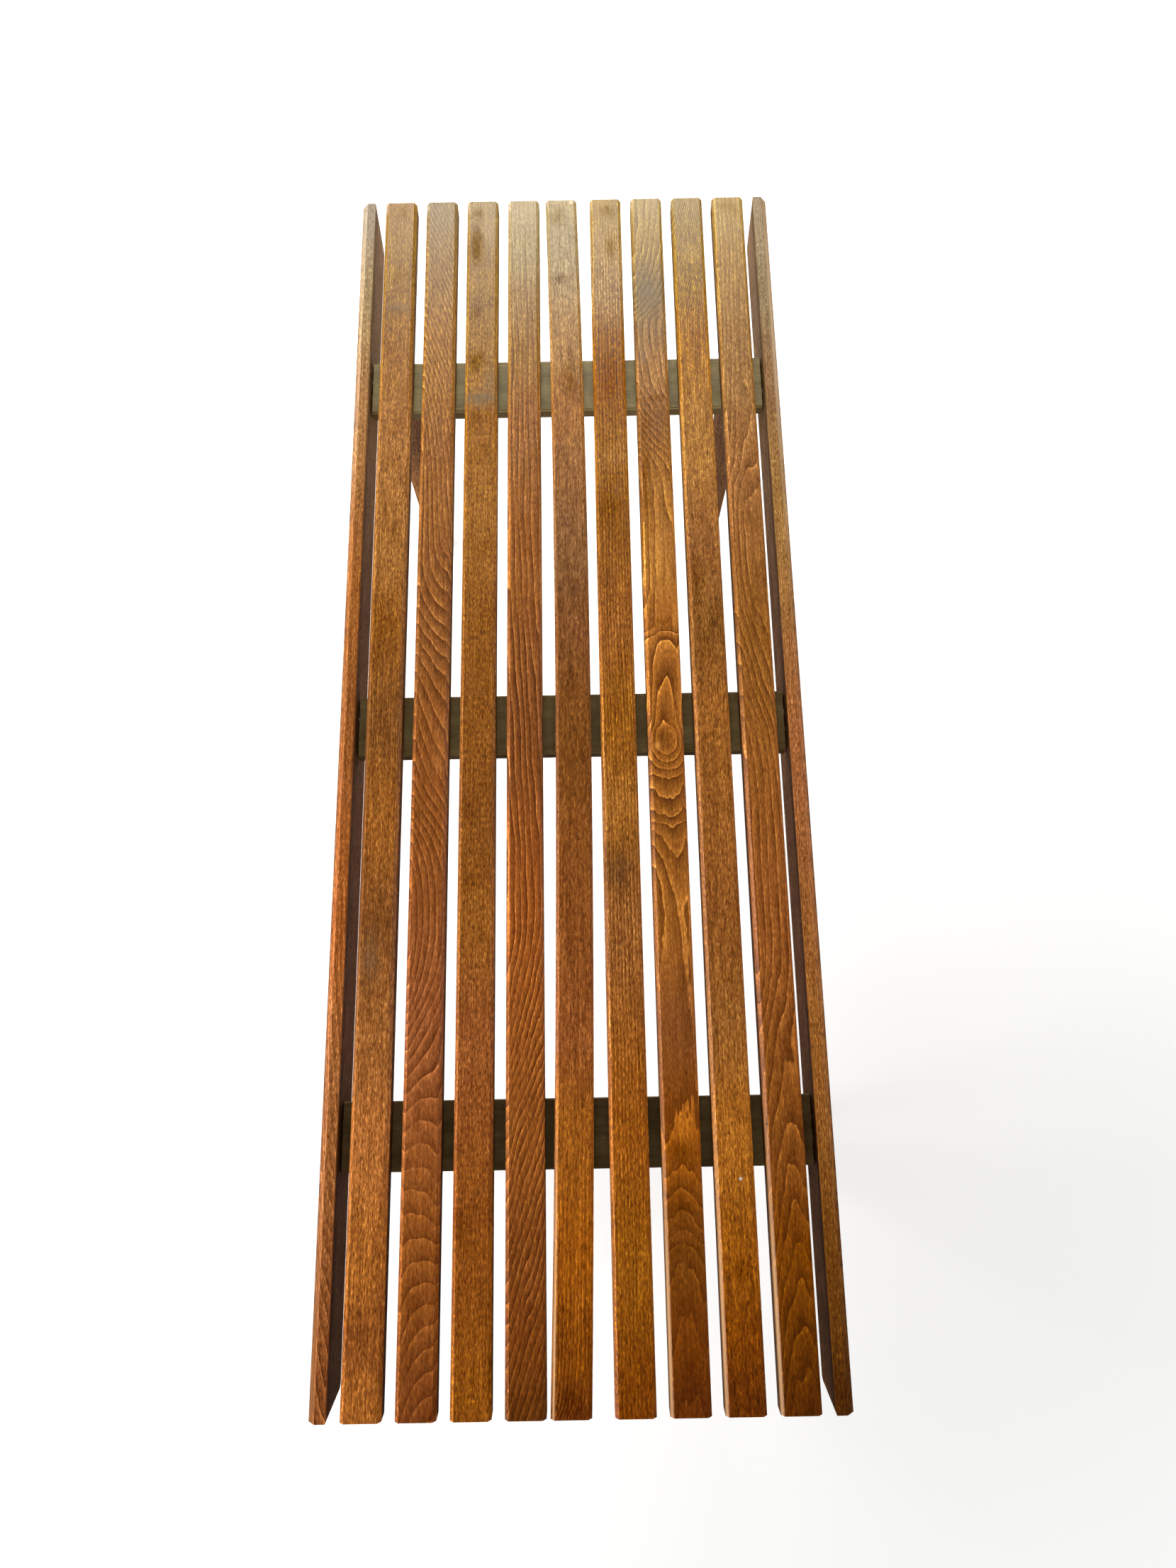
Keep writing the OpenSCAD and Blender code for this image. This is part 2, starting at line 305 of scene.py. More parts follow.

# The grain and stain of each piece of wood. Places are in millimetres from the middle, across the piece and
# along the bench, and a list of (place, value) runs along the bench.
# phase, slant and bend place the growth rings: ring number = phase + slant * across + bend * across * across.
# clear is how much the rings show. wobble makes them drift and ragged roughens them.
# grain is how much the fine patterns show, and flecks and mottle are the strengths of short and broad marks.
# tones are the stain's colours, and they also turn paler and greyer toward the far end, a painted sheen of
# the far window. spots are darker or lighter places (across, along, width, length, stops), greys are dull
# ones (across, along, width, length, share), and marks have a colour of their own (across, along, width,
# length, colour).
PLAIN = dict(
    phase=[(NEAR, 0), (-200, 0.6), (250, -0.3), (FAR, 0.4)],
    slant=[(NEAR, -0.4), (FAR, -0.4)],
    bend=[(NEAR, 0), (FAR, 0)],
    clear=[(NEAR, 0.12), (FAR, 0.12)],
    wobble=0.3,
    ragged=0.8,
    grain=[(NEAR, 1.0), (350, 1.0), (FAR, 0.5)],
    flecks=1.0,
    mottle=0.3,
    spots=[],
    greys=[],
    marks=[],
    tones=[
        (NEAR, (150, 85, 30)), (-400, (150, 90, 35)), (0, (145, 85, 40)), (300, (150, 100, 50)),
        (FAR, (160, 120, 60)),
    ],
)
STYLES = {
    "slat_1": dict(
        clear=[(NEAR, 0.1), (-120, 0.12), (-60, 0.3), (20, 0.35), (60, 0.12), (FAR, 0.1)],
        flecks=1.0,
        mottle=0.32,
        tones=[
            (NEAR, (170, 100, 40)), (-560, (150, 85, 35)), (-500, (170, 100, 40)), (-400, (175, 105, 50)),
            (-300, (155, 95, 45)), (-200, (140, 85, 40)), (-100, (150, 90, 35)), (0, (130, 80, 35)),
            (100, (140, 85, 30)), (180, (155, 100, 45)), (330, (160, 105, 50)), (430, (150, 100, 40)),
            (530, (150, 108, 42)), (FAR, (155, 114, 50)),
        ],
        spots=[
            (2, 607, 6, 10, -0.2), (0, 523, 14, 11, -0.2), (-9, 499, 8, 7, -0.25), (0, 480, 15, 6, -0.35),
            (-4, 105, 11, 20, -0.25), (-3, -215, 13, 45, -0.25), (0, -100, 12, 22, 0.12),
            (0, -556, 13, 14, -0.2),
        ],
        greys=[(0, 482, 15, 7, 0.35), (-5, -235, 8, 22, 0.3)],
        marks=[(-16, -120, 1.6, 180, (105, 65, 35))],
    ),
    "slat_2": dict(
        phase=[
            (NEAR, -0.5), (-400, 11), (-300, 16.5), (-240, 20), (-205, 20.6), (-50, 13.5), (40, 10),
            (175, 3.5), (311, 1.5), (450, -6.8), (FAR, -22),
        ],
        slant=[
            (NEAR, -0.085), (-560, -0.067), (-522, -0.029), (-477, 0.005), (-442, 0.026), (-418, 0.012),
            (-370, -0.02), (-345, -0.046), (-300, -0.12), (-240, -0.17), (-120, -0.14), (20, -0.08),
            (115, -0.07), (200, -0.16), (311, -0.22), (FAR, -0.22),
        ],
        bend=[
            (NEAR, 0.0028), (-400, 0.002), (-300, 0.001), (-100, 0.001), (60, 0.0022), (160, 0.0017),
            (250, 0.0005), (FAR, 0),
        ],
        clear=[
            (NEAR, 0.34), (-400, 0.34), (-300, 0.5), (-60, 0.5), (50, 0.55), (300, 0.6), (450, 0.5),
            (FAR, 0.35),
        ],
        wobble=0.1,
        ragged=0.25,
        grain=FIGURED_GRAIN,
        flecks=0.5,
        mottle=0.2,
        tones=[
            (NEAR, (130, 70, 30)), (-500, (150, 85, 35)), (-300, (150, 85, 45)), (-100, (140, 80, 35)),
            (100, (140, 85, 40)), (280, (150, 95, 45)), (430, (155, 105, 45)), (530, (150, 110, 55)),
            (FAR, (150, 120, 70)),
        ],
        spots=[(10, -40, 9, 40, 0.3), (-6, -530, 10, 12, -0.3)],
        greys=[(0, 600, 20, 40, 0.25)],
    ),
    "slat_3": dict(
        clear=[(NEAR, 0.06), (FAR, 0.1)],
        flecks=1.1,
        mottle=0.4,
        tones=[
            (NEAR, (150, 85, 20)), (-500, (145, 80, 25)), (-300, (150, 85, 40)), (-200, (150, 90, 35)),
            (-100, (135, 80, 30)), (100, (140, 85, 30)), (230, (155, 100, 40)), (330, (150, 95, 30)),
            (430, (155, 110, 45)), (530, (150, 110, 45)), (FAR, (160, 130, 80)),
        ],
        spots=[
            (-5, 606, 6, 7, -0.4), (-6, 563, 7, 23, -0.65), (6, 575, 6, 20, 0.1), (-7, 482, 8, 17, -0.6),
            (-6, 410, 8, 13, -0.6), (0, 340, 15, 10, -0.2), (-7, -160, 9, 14, -0.35),
            (-6, -95, 8, 10, -0.25), (-8, -470, 8, 20, -0.35), (4, 186, 9, 8, -0.2),
        ],
        greys=[(0, 364, 17, 9, 0.7), (10, 384, 8, 18, 0.3)],
    ),
    "slat_4": dict(
        phase=[
            (NEAR, -28), (-400, -15), (-250, -6), (-190, -4.6), (-50, -5.5), (150, -7.5), (350, -8),
            (FAR, -8.5),
        ],
        slant=[
            (NEAR, -0.17), (-400, -0.18), (-190, -0.17), (0, -0.16), (200, -0.16), (400, -0.17),
            (FAR, -0.2),
        ],
        bend=[(NEAR, 0.001), (-400, 0.0008), (0, 0.0008), (FAR, 0)],
        clear=[(NEAR, 0.5), (-300, 0.75), (-50, 0.75), (200, 0.65), (430, 0.5), (FAR, 0.12)],
        wobble=0.24,
        grain=FIGURED_GRAIN,
        flecks=0.55,
        mottle=0.2,
        tones=[
            (NEAR, (110, 60, 20)), (-560, (130, 70, 25)), (-500, (135, 75, 30)), (-400, (150, 85, 35)),
            (-200, (155, 85, 35)), (0, (130, 75, 35)), (180, (150, 90, 40)), (330, (150, 95, 45)),
            (430, (150, 105, 45)), (480, (155, 115, 60)), (560, (160, 135, 85)), (FAR, (175, 150, 105)),
        ],
        spots=[(0, 200, 14, 30, -0.1)],
    ),
    "slat_5": dict(
        phase=[(NEAR, -2.5), (-590, 0), (-560, 0.3), (200, 0), (FAR, 0.4)],
        slant=[(NEAR, -0.34), (-480, -0.3), (FAR, -0.36)],
        clear=[(NEAR, 0.6), (-520, 0.5), (-400, 0.3), (-200, 0.15), (300, 0.08), (500, 0.16), (FAR, 0.1)],
        wobble=0.2,
        flecks=0.7,
        mottle=0.25,
        tones=[
            (NEAR, (110, 55, 15)), (-580, (140, 75, 15)), (-500, (165, 90, 20)), (-400, (165, 95, 30)),
            (-300, (150, 85, 40)), (-200, (140, 80, 35)), (0, (125, 75, 30)), (100, (130, 80, 40)),
            (180, (135, 90, 50)), (280, (145, 95, 50)), (350, (155, 100, 45)), (430, (165, 120, 65)),
            (560, (160, 135, 90)), (FAR, (170, 145, 95)),
        ],
        spots=[
            (-1, 516, 8, 5, -0.6), (-2, 600, 7, 11, -0.3), (5, 390, 8, 24, -0.4),
            (-4, -608, 9, 10, -0.35),
        ],
        marks=[(14.5, 620, 2.2, 2.2, (240, 214, 168)), LIT_LEFT_EDGE],
    ),
    "slat_6": dict(
        slant=[(NEAR, -0.3), (FAR, -0.32)],
        clear=[
            (NEAR, 0.25), (-240, 0.45), (-180, 0.65), (-120, 0.6), (-60, 0.45), (100, 0.55), (300, 0.6),
            (FAR, 0.2),
        ],
        wobble=0.22,
        flecks=0.9,
        mottle=0.3,
        tones=[
            (NEAR, (135, 70, 10)), (-500, (155, 90, 20)), (-400, (160, 90, 25)), (-200, (155, 95, 45)),
            (-100, (160, 100, 40)), (0, (150, 90, 25)), (100, (150, 90, 35)), (230, (140, 85, 25)),
            (300, (155, 100, 35)), (380, (145, 85, 10)), (430, (145, 90, 15)), (500, (165, 125, 70)),
            (FAR, (165, 130, 60)),
        ],
        spots=[
            (1, 605, 9, 9, -0.35), (6, 560, 6, 15, -0.4), (5, 500, 8, 9, -0.35), (-10, 520, 6, 8, -0.2),
            (0, 392, 16, 34, -0.2), (-4, 232, 10, 18, -0.3), (-3, -150, 14, 24, -0.85),
            (-4, -85, 10, 10, 0.12),
        ],
        greys=[(-3, -152, 13, 20, 0.15)],
    ),
    "slat_7": dict(
        phase=[
            (NEAR, 0.6), (-550, 1.9), (-505, 3), (-477, 5), (-442, 7), (-421, 8), (-372, 9), (-311, 9.35),
            (-230, 9.3), (-175, 9), (-134, 8), (-112, 7), (-104, 6), (-87, 5), (-65, 4), (-56, 3),
            (-48, 2), (-40, 1), (-25, 0.1), (-8, 1), (38, 2), (81, 3), (90, 4), (98, 4.5), (170, 4.8),
            (255, 4.6), (311, 1.5), (360, -3), (400, -4.5), (450, -5), (470, -3.5), (500, -0.5),
            (540, 1.5), (580, 2.5), (FAR, 3),
        ],
        slant=[
            (NEAR, 0), (-505, 0.01), (-400, 0), (-300, -0.02), (-200, -0.05), (-134, -0.03), (-87, 0),
            (-35, 0), (38, -0.03), (95, -0.03), (150, -0.08), (255, -0.12), (330, -0.14), (450, -0.14),
            (520, -0.15), (FAR, -0.12),
        ],
        bend=[
            (NEAR, 0.003), (-400, 0.0025), (-300, 0), (-177, 0.003), (-87, 0.003), (-60, 0.003),
            (-30, 0.009), (38, 0.006), (90, 0.003), (150, 0.004), (250, 0.003), (330, 0.001), (450, 0),
            (FAR, 0),
        ],
        clear=[
            (NEAR, 0.22), (-500, 0.3), (-380, 0.4), (-320, 0.3), (-180, 0.55), (80, 0.75), (180, 0.45),
            (350, 0.5), (500, 0.5), (FAR, 0.3),
        ],
        wobble=0.16,
        ragged=1.5,
        grain=FIGURED_GRAIN,
        flecks=0.35,
        mottle=0.2,
        tones=[
            (NEAR, (110, 55, 15)), (-560, (125, 65, 15)), (-500, (125, 70, 20)), (-400, (155, 85, 20)),
            (-300, (145, 85, 40)), (-200, (165, 100, 40)), (-100, (150, 90, 35)), (0, (160, 95, 35)),
            (100, (165, 100, 40)), (180, (180, 118, 50)), (280, (158, 102, 42)), (330, (140, 90, 40)),
            (400, (160, 110, 55)), (450, (150, 110, 60)), (500, (135, 105, 55)), (560, (160, 125, 60)),
            (FAR, (170, 140, 80)),
        ],
        spots=[
            (3, -390, 8, 11, 0.45), (0, -409, 13, 8, -0.5), (0, -458, 13, 5, -0.35),
            (0, -489, 13, 5, -0.3), (0, -585, 12, 14, -0.2), (5, 185, 8, 40, 0.1), (0, 98, 12, 4, -0.4),
            (0, 363, 16, 4, -0.35), (-14, 260, 5, 70, -0.6),
        ],
        greys=[(-2, 492, 14, 32, 0.5), (-10, 415, 6, 14, 0.4)],
        marks=[(-8.6, -31, 2.4, 3.6, (220, 150, 70)), LIT_LEFT_EDGE],
    ),
    "slat_8": dict(
        phase=[
            (NEAR, 0), (-100, 0.5), (80, 0), (200, -12), (260, -13), (440, -12), (500, -8), (560, 2),
            (FAR, 8),
        ],
        slant=[(NEAR, -0.4), (FAR, -0.42)],
        clear=[(NEAR, 0.06), (40, 0.1), (120, 0.3), (200, 0.15), (400, 0.2), (500, 0.5), (FAR, 0.6)],
        wobble=0.3,
        flecks=0.9,
        mottle=0.3,
        tones=[
            (NEAR, (110, 55, 10)), (-560, (135, 70, 10)), (-500, (160, 90, 20)), (-400, (175, 105, 35)),
            (-300, (160, 100, 45)), (-200, (150, 90, 40)), (0, (155, 95, 40)), (100, (135, 85, 35)),
            (180, (150, 95, 45)), (330, (170, 115, 50)), (430, (160, 105, 30)), (530, (150, 110, 35)),
            (FAR, (155, 125, 65)),
        ],
        spots=[(-8, 145, 7, 26, -0.35), (2, -511, 7, 8, -0.35), (0, 545, 12, 14, 0.12)],
        marks=[(5, -434, 1.1, 1.1, (250, 248, 240)), LIT_LEFT_EDGE],
    ),
    "slat_9": dict(
        phase=[
            (NEAR, -9), (-311, 0), (-200, 2), (-100, 2), (40, -1), (100, -3), (150, -4), (200, -4),
            (300, -2), (400, -1), (FAR, 0),
        ],
        slant=[
            (NEAR, -0.06), (-400, -0.07), (-200, -0.14), (0, -0.15), (150, -0.1), (311, -0.1),
            (450, -0.2), (FAR, -0.2),
        ],
        bend=[
            (NEAR, 0.006), (-400, 0.005), (-200, 0.001), (0, 0.001), (150, 0.003), (311, 0.004),
            (450, 0.001), (FAR, 0.001),
        ],
        clear=[(NEAR, 0.35), (-300, 0.5), (0, 0.5), (300, 0.4), (FAR, 0.3)],
        wobble=0.25,
        grain=FIGURED_GRAIN,
        flecks=0.6,
        mottle=0.2,
        tones=[
            (NEAR, (105, 55, 10)), (-560, (120, 65, 10)), (-500, (130, 70, 10)), (-400, (140, 80, 30)),
            (-200, (155, 90, 40)), (100, (145, 90, 35)), (250, (155, 100, 50)), (430, (155, 110, 55)),
            (530, (162, 120, 56)), (FAR, (172, 138, 70)),
        ],
        spots=[(0, 609, 11, 5, -0.25)],
        marks=[LIT_LEFT_EDGE, (-15.6, 531, 0.8, 1.2, (70, 50, 34)), (-15.2, -388, 0.9, 1.3, (60, 36, 20))],
    ),
    "left_rail": dict(
        phase=[(NEAR, 0), (-250, 12), (0, 14), (FAR, 15)],
        slant=[(NEAR, 0.12), (-250, 0.2), (FAR, -0.5)],
        clear=[(NEAR, 0.5), (-250, 0.4), (0, 0.2), (FAR, 0.2)],
        wobble=0.25,
        mottle=0.35,
        tones=[
            (NEAR, (140, 80, 40)), (-350, (155, 95, 50)), (-200, (160, 90, 40)), (0, (145, 85, 40)),
            (150, (150, 90, 40)), (350, (160, 110, 60)), (500, (150, 120, 70)), (FAR, (140, 120, 90)),
        ],
        marks=[(-4.5, -600, 2.2, 130, (115, 72, 34))],
    ),
    "right_rail": dict(
        slant=[(NEAR, -0.5), (FAR, -0.5)],
        clear=[(NEAR, 0.2), (FAR, 0.2)],
        mottle=0.35,
        tones=[
            (NEAR, (90, 50, 15)), (-500, (125, 75, 25)), (-350, (160, 100, 45)), (-50, (165, 100, 55)),
            (250, (160, 115, 60)), (380, (140, 100, 60)), (500, (140, 115, 75)), (FAR, (150, 125, 85)),
        ],
        # A pale strip along the far half of the outer edge: a painted highlight.
        marks=[(4.5, 450, 2.2, 190, (190, 160, 126))],
    ),
}
DOWEL_COLOUR = (196, 160, 112)
DOWEL_STYLE = {**PLAIN, "tones": [(NEAR, DOWEL_COLOUR), (FAR, DOWEL_COLOUR)]}

# The first seed of each kind of piece, and how far apart the seeds of two such pieces are.
SLAT_SEEDS = (3.7, 3.7)
RAIL_SEEDS = (51, 3)
LEG_SEEDS = (71, 5)
DOWEL_SEED = 91


def spot(across, along, place):
    """1 in the middle of a place (across, along, width, length), fading to nothing around it."""
    middle_across, middle_along, width, length = place
    off_side = (across - middle_across) / width
    off_end = (along - middle_along) / length
    return (-(off_side * off_side + off_end * off_end)).math("EXPONENT")


def ring_tone(place, pattern, style):
    """How light each place is as part of its growth ring."""
    across, along, outward = place
    slant = across * along.curve(style["slant"], *ENDS)
    bend = across * across * along.curve(style["bend"], *ENDS)
    drift = pattern("drift") * style["wobble"] * DRIFT_RINGS
    ripple = pattern("ripple") * style["wobble"] * style["ragged"]
    rings = along.curve(style["phase"], *ENDS) + slant + bend + outward * OUTWARD_RINGS + drift + ripple
    return rings.math("FRACT").curve(RING_TONE)


def wood(name, axes, style, seed):
    """Stained beech. axes gives the places across the grain, along it and outward, from the shader."""
    shader = Shader(name)
    place = axes(shader)
    across, along, outward = place

    def pattern(kind):
        return shader.pattern(kind, place, seed)

    tone = ring_tone(place, pattern, style)
    fibre = pattern("fibre")
    mottle = pattern("mottle")
    dashes = pattern("dashes").step(*DASH_RANGE)
    flecks = pattern("flecks").step(*FLECK_RANGE)
    side = outward.step(*SIDE_RANGE)

    shown = pattern("patches").step(*PATCH_RANGE) * (1 - FAINT_RINGS) + FAINT_RINGS
    rings = tone * along.curve(style["clear"], *ENDS) * shown * RING_STOPS
    marks = (flecks * FLECK_STOPS - dashes * DASH_STOPS) * style["flecks"]
    grain = fibre * FIBRE_STOPS + pattern("grit") * GRIT_STOPS + marks
    # Pale edges: partly wear, partly a painted highlight of the light from the left on the left edges.
    wear_and_highlight = across.curve(WEAR_AND_HIGHLIGHT_ACROSS, *SLAT_EDGES) * pattern("wear_and_highlight").step(*WEAR_AND_HIGHLIGHT_RANGE)
    stops = rings + grain * along.curve(style["grain"], *ENDS) + mottle * style["mottle"]
    stops = stops + wear_and_highlight * along.curve(WEAR_AND_HIGHLIGHT_ALONG, *ENDS) + side * SIDE_SHADE_STOPS + OVERALL_STOPS

    shift_across, shift_along = MOTTLE_SHIFT
    shifted = (across + mottle * shift_across, along + mottle * shift_along)
    spots = across * 0
    for *where, amount in style["spots"]:
        spots = spots + spot(*shifted, where) * amount

    # The stain's tones, with a painted sheen that pales them toward the far end.
    stain_and_sheen_colour = shader.ramp(along, style["tones"], *ENDS)
    # The sides take darker tones of their own: painted shade.
    shaded_side_colour = shader.ramp(along, SHADED_SIDE_TONES, *ENDS)
    colour = shader.stained(shader.mix(side, stain_and_sheen_colour, shaded_side_colour), stops + spots)
    for *where, share in style["greys"]:
        colour = shader.mix(spot(*shifted, where) * share, colour, linear(DULL_COLOUR))
    for *where, tint in style["marks"]:
        colour = shader.mix(spot(across, along, where), colour, linear(tint))

    shader.bump(tone * RING_SHARE + fibre * FIBRE_SHARE + flecks * FLECK_SHARE, GRAIN_RELIEF)
    roughness = mottle * MOTTLE_ROUGHNESS + dashes * DASH_ROUGHNESS + side * SIDE_ROUGHNESS + WOOD_ROUGHNESS
    roughness = roughness + spots * along.curve(SPOT_ROUGHNESS, *ENDS)
    return shader.finish(colour, roughness, WOOD_SPECULAR)


def lengthwise(node, bow=0.0):
    """The grain's axes for a piece that lies along the bench. The grain bows sideways by that much."""
    least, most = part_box(node)
    middle = 1000 * (least.x + most.x) / 2
    top = 1000 * most.z

    def axes(shader):
        across = shader.x - middle
        if bow:
            share = shader.y / FAR
            across = across + share * share * bow - bow / 2
        return across, shader.y, shader.z - top

    return axes


def upright(node):
    """The grain's axes for a leg."""
    least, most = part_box(node)
    middle = 1000 * (least + most) / 2

    def axes(shader):
        return shader.x - middle.x, shader.z - middle.z, shader.y - middle.y - LEG_DEPTH

    return axes


def sideways(shader):
    """The grain's axes for a dowel, which lies across the bench."""
    return shader.z, shader.x, shader.y


# Faces that meet at a sharper angle than this keep a crease between them.
CREASE = math.radians(28)
# How far an edge is softened, in millimetres, and in how many steps.
SOFTENING = 0.8
SOFT_STEPS = 3


def dress(node, material, edge=0.0):
    """Gives a CAD node its material and softens its edges by that many millimetres."""
    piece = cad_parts[node]
    piece.data.materials.clear()
    piece.data.materials.append(material)
    for face in piece.data.polygons:
        face.use_smooth = True
    piece.data.set_sharp_from_angle(angle=CREASE)
    if edge:
        soft = piece.modifiers.new("soft edges", "BEVEL")
        soft.width = edge / 1000
        soft.segments = SOFT_STEPS
        soft.limit_method = "ANGLE"
        soft.angle_limit = CREASE
        soft.harden_normals = True


def dress_alike(nodes, axes_of, seeds, edge=0.0):
    """Gives each of the nodes wood in its own style, with its own seed."""
    first, apart = seeds
    for number, node in enumerate(nodes):
        style = {**PLAIN, **STYLES.get(node, {})}
        dress(node, wood(node, axes_of(node), style, first + apart * number), edge)


def slat_axes(node):
    """The grain's axes for a slat."""
    return lengthwise(node, WARP_BOW if node == WARPED_SLAT else 0.0)


dress_alike([f"slat_{number}" for number in range(1, SLATS + 1)], slat_axes, SLAT_SEEDS, SOFTENING)
dress_alike(("left_rail", "right_rail"), lengthwise, RAIL_SEEDS, SOFTENING)
dress_alike([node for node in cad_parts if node.endswith("_leg")], upright, LEG_SEEDS)
dowel_wood = wood("dowel_wood", sideways, DOWEL_STYLE, DOWEL_SEED)
for node in ("left_rail_dowels", "right_rail_dowels"):
    dress(node, dowel_wood)


# ---------------------------------------------------------------- paint and fixings

# One paint on all three battens, with a colour each: the farther the batten, the paler, a painted reflection
# of the far window.
BATTEN_PAINT_AS_LIT = {
    "near_batten": (126, 102, 60),
    "middle_batten": (150, 126, 76),
    "far_batten": (190, 170, 106),
}
PAINT_ROUGHNESS = 0.4
PAINT_RELIEF = 0.05
# How much the brush strokes, the uneven paint and the dust change the paint, in stops and in roughness.
STROKE_STOPS = 0.5
CLOUD_STOPS = 0.9
DUST_STOPS = 0.8
STROKE_ROUGHNESS = 0.1
CLOUD_ROUGHNESS = 0.2
# How high a brush stroke stands beside the dust.
STROKE_SHARE = 0.5
# The noise value at which dust begins, and the one at which it is thickest.
DUST_RANGE = (0.28, 0.5)
# A batten's side is darker than its top, painted shade, from the first of these millimetres below the top to
# the second.
PAINT_SIDE_RANGE = (1, 4)
PAINT_SIDE_SHADE_STOPS = -1.6

ZINC_COLOUR = (188, 186, 178)
ZINC_METALLIC = 0.6
ZINC_ROUGHNESS = 0.32
ZINC_RELIEF = 0.01
TARNISH_STOPS = 0.3
TARNISH_ROUGHNESS = 0.1
BRUSHING_ROUGHNESS = 0.06

NYLON_COLOUR = (52, 50, 47)
NYLON_ROUGHNESS = 0.5
NYLON_RELIEF = 0.02
MOULDING_STOPS = 0.2
MOULDING_ROUGHNESS = 0.08


def paint(name, colour, top):
    """Satin paint, brushed along the batten, with dust, and painted shade on its sides. top is the height of
    the batten's top face.
    """
    shader = Shader(name)
    strokes = shader.pattern("brush strokes", shader.place)
    cloud = shader.pattern("uneven paint", shader.place)
    dust = shader.pattern("dust", shader.place).step(*DUST_RANGE)
    side = (-shader.z + top).step(*PAINT_SIDE_RANGE)
    stops = strokes * STROKE_STOPS + cloud * CLOUD_STOPS + dust * DUST_STOPS + side * PAINT_SIDE_SHADE_STOPS
    shader.bump(strokes * STROKE_SHARE + dust, PAINT_RELIEF)
    roughness = cloud * CLOUD_ROUGHNESS + strokes * STROKE_ROUGHNESS + PAINT_ROUGHNESS
    return shader.finish(shader.stained(linear(colour), stops), roughness)


def zinc(name):
    """Zinc-plated steel with a faint brushing."""
    shader = Shader(name)
    brushing = shader.pattern("brushed steel", shader.place)
    tarnish = shader.pattern("tarnish", shader.place)
    shader.surface.inputs["Metallic"].default_value = ZINC_METALLIC
    shader.bump(brushing, ZINC_RELIEF)
    roughness = tarnish * TARNISH_ROUGHNESS + brushing * BRUSHING_ROUGHNESS + ZINC_ROUGHNESS
    return shader.finish(shader.stained(linear(ZINC_COLOUR), tarnish * TARNISH_STOPS), roughness)


def moulded(name):
    """Dark moulded nylon."""
    shader = Shader(name)
    grain = shader.pattern("moulding", shader.place)
    shader.bump(grain, NYLON_RELIEF)
    roughness = grain * MOULDING_ROUGHNESS + NYLON_ROUGHNESS
    return shader.finish(shader.stained(linear(NYLON_COLOUR), grain * MOULDING_STOPS), roughness)


for node, colour in BATTEN_PAINT_AS_LIT.items():
    dress(node, paint(f"{node}_paint", colour, 1000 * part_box(node)[1].z), SOFTENING)
steel = zinc("zinc_steel")
nylon = moulded("glide_nylon")
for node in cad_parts:
    if node.endswith(("_plate", "_bolts", "_screws")):
        dress(node, steel)
    if node.endswith("_glide"):
        dress(node, nylon)


# ---------------------------------------------------------------- camera, light and room

CAMERA_PLACE = (0.0153, -0.393, BENCH_TOP + 1.093)
TILT = math.radians(16.51)
ROLL = math.radians(-1.01)
LENS = 27.02
SENSOR_WIDTH = 36

# The panels of light: place, the point that it faces, width and height, all in metres, then its radiance and
# whether glossy surfaces mirror it.
PANELS = {
    "far window": ((-0.05, 1.9, 1.22), (0, 0.4, 0.38), (1.1, 1.1), 6.8, True),
    "left window": ((-2.4, 0.0, 1.1), (0, 0, 0.3), (2.4, 1.4), 9.0, False),
    "right wall": ((2.0, 0.6, 1.1), (0, 0.2, 0.3), (1.6, 1.0), 6.0, False),
    "left wall, far end": ((-1.4, 1.7, 0.25), (0, 0.6, 0.4), (1.2, 0.7), 3.0, True),
    "left wall": ((-1.4, -0.3, 0.75), (0, 0, 0.4), (2.0, 0.7), 2.4, True),
}
WORLD_STRENGTH = 0.12

ROOM_RADIUS = 8
ROOM_HEIGHT = 7
FLOOR_COLOUR = (252, 252, 251)
FLOOR_ROUGHNESS = 0.7
FLOOR_SPECULAR = 0.1
# The floor's glow by the bench and far from it, and the distances in millimetres between which it grows.
NEAR_GLOW = 0.18
FAR_GLOW = 0.98
GLOW_RANGE = (700, 2500)
BACKDROP_GLOW = 0.97
BACKDROP_SIDES = 48


def make_camera():
    """The camera, high over the near half of the bench and looking steeply down on it."""
    data = bpy.data.cameras.new("camera")
    data.lens = LENS
    data.sensor_width = SENSOR_WIDTH
    camera = bpy.data.objects.new("camera", data)
    turn = Matrix.Rotation(TILT, 3, "X") @ Matrix.Rotation(ROLL, 3, "Z")
    camera.rotation_euler = turn.to_euler()
    camera.location = CAMERA_PLACE
    bpy.context.scene.collection.objects.link(camera)
    bpy.context.scene.camera = camera


def make_panel(name, place, aim, size, radiance, mirrored):
    """A rectangle of light at place that faces aim, and that the camera doesn't see."""
    width, height = size
    data = bpy.data.lights.new(name, "AREA")
    data.shape = "RECTANGLE"
    data.size = width
    data.size_y = height
    data.energy = radiance * math.pi * width * height
    light = bpy.data.objects.new(name, data)
    light.visible_glossy = mirrored
    light.visible_camera = False
    light.location = place
    light.rotation_euler = (Vector(aim) - Vector(place)).to_track_quat("-Z", "Y").to_euler()
    bpy.context.scene.collection.objects.link(light)


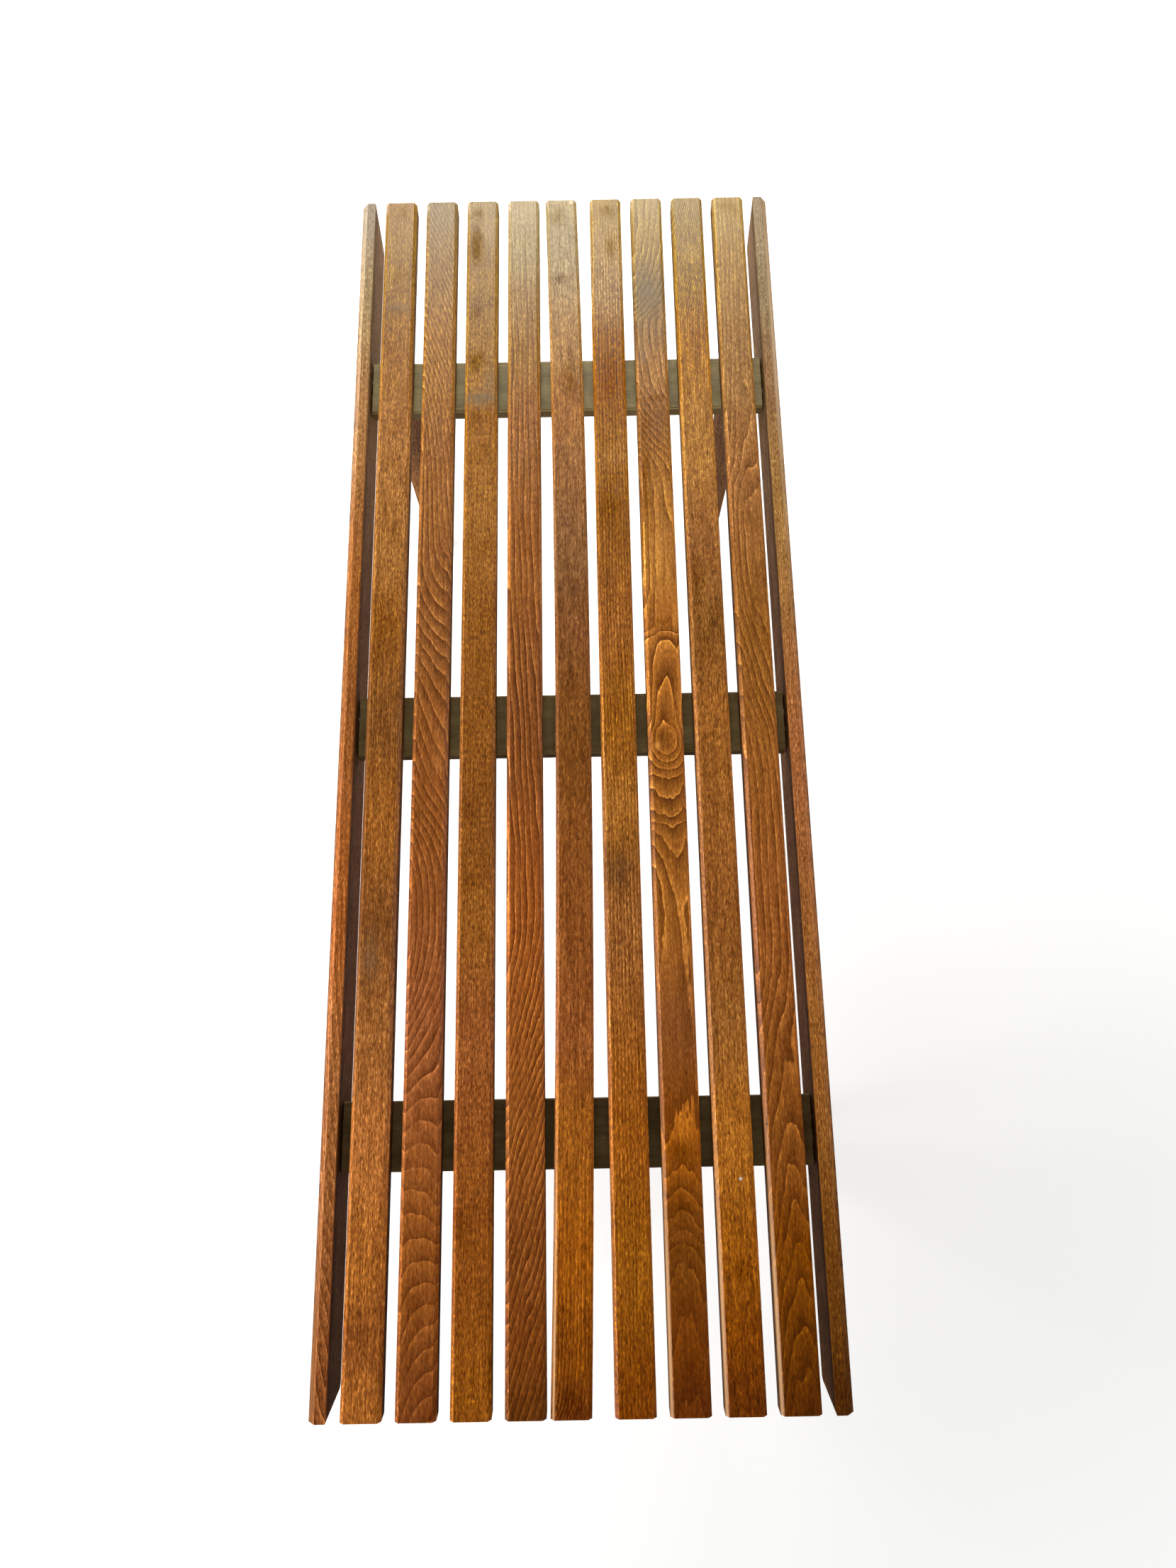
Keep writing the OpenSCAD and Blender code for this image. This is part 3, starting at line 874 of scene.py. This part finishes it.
def stage(name, points, faces):
    """A piece of the room. It isn't part of the object, and glossy surfaces don't mirror it."""
    mesh = bpy.data.meshes.new(name)
    mesh.from_pydata(points, [], faces)
    piece = bpy.data.objects.new(name, mesh)
    piece.visible_glossy = False
    bpy.context.scene.collection.objects.link(piece)
    return piece


def make_floor():
    """A pale floor. Away from the bench it glows more, so that it stays pale where no panel lights it."""
    reach = ROOM_RADIUS
    corners = [(-reach, -reach, 0), (reach, -reach, 0), (reach, reach, 0), (-reach, reach, 0)]
    floor = stage("floor", corners, [(0, 1, 2, 3)])
    shader = Shader("floor_paint")
    distance = (shader.x * shader.x + shader.y * shader.y).math("SQRT")
    shader.glow(distance.step(*GLOW_RANGE) * (FAR_GLOW - NEAR_GLOW) + NEAR_GLOW)
    floor.data.materials.append(shader.finish(linear(FLOOR_COLOUR), FLOOR_ROUGHNESS, FLOOR_SPECULAR))


def make_backdrop():
    """A pale round wall, which neither lights nor shades the bench."""
    turns = [2 * math.pi * side / BACKDROP_SIDES for side in range(BACKDROP_SIDES)]
    ring = [(ROOM_RADIUS * math.cos(turn), ROOM_RADIUS * math.sin(turn)) for turn in turns]
    points = [(*place, height) for height in (0, ROOM_HEIGHT) for place in ring]
    pairs = [(side, (side + 1) % BACKDROP_SIDES) for side in range(BACKDROP_SIDES)]
    wall = stage("backdrop", points, [(a, b, b + BACKDROP_SIDES, a + BACKDROP_SIDES) for a, b in pairs])
    wall.visible_diffuse = False
    wall.visible_shadow = False
    shader = Shader("backdrop_paint")
    shader.glow(BACKDROP_GLOW)
    wall.data.materials.append(shader.finish((0, 0, 0), 1.0, 0.0))


def make_world():
    """Faint light from all round, which glossy surfaces don't mirror."""
    world = bpy.data.worlds.new("room")
    world.use_nodes = True
    background = world.node_tree.nodes["Background"]
    background.inputs["Color"].default_value = (1, 1, 1, 1)
    background.inputs["Strength"].default_value = WORLD_STRENGTH
    world.cycles_visibility.glossy = False
    bpy.context.scene.world = world


make_camera()
make_floor()
make_backdrop()
for name, looks in PANELS.items():
    make_panel(name, *looks)
make_world()
bpy.context.scene.view_settings.view_transform = "Standard"
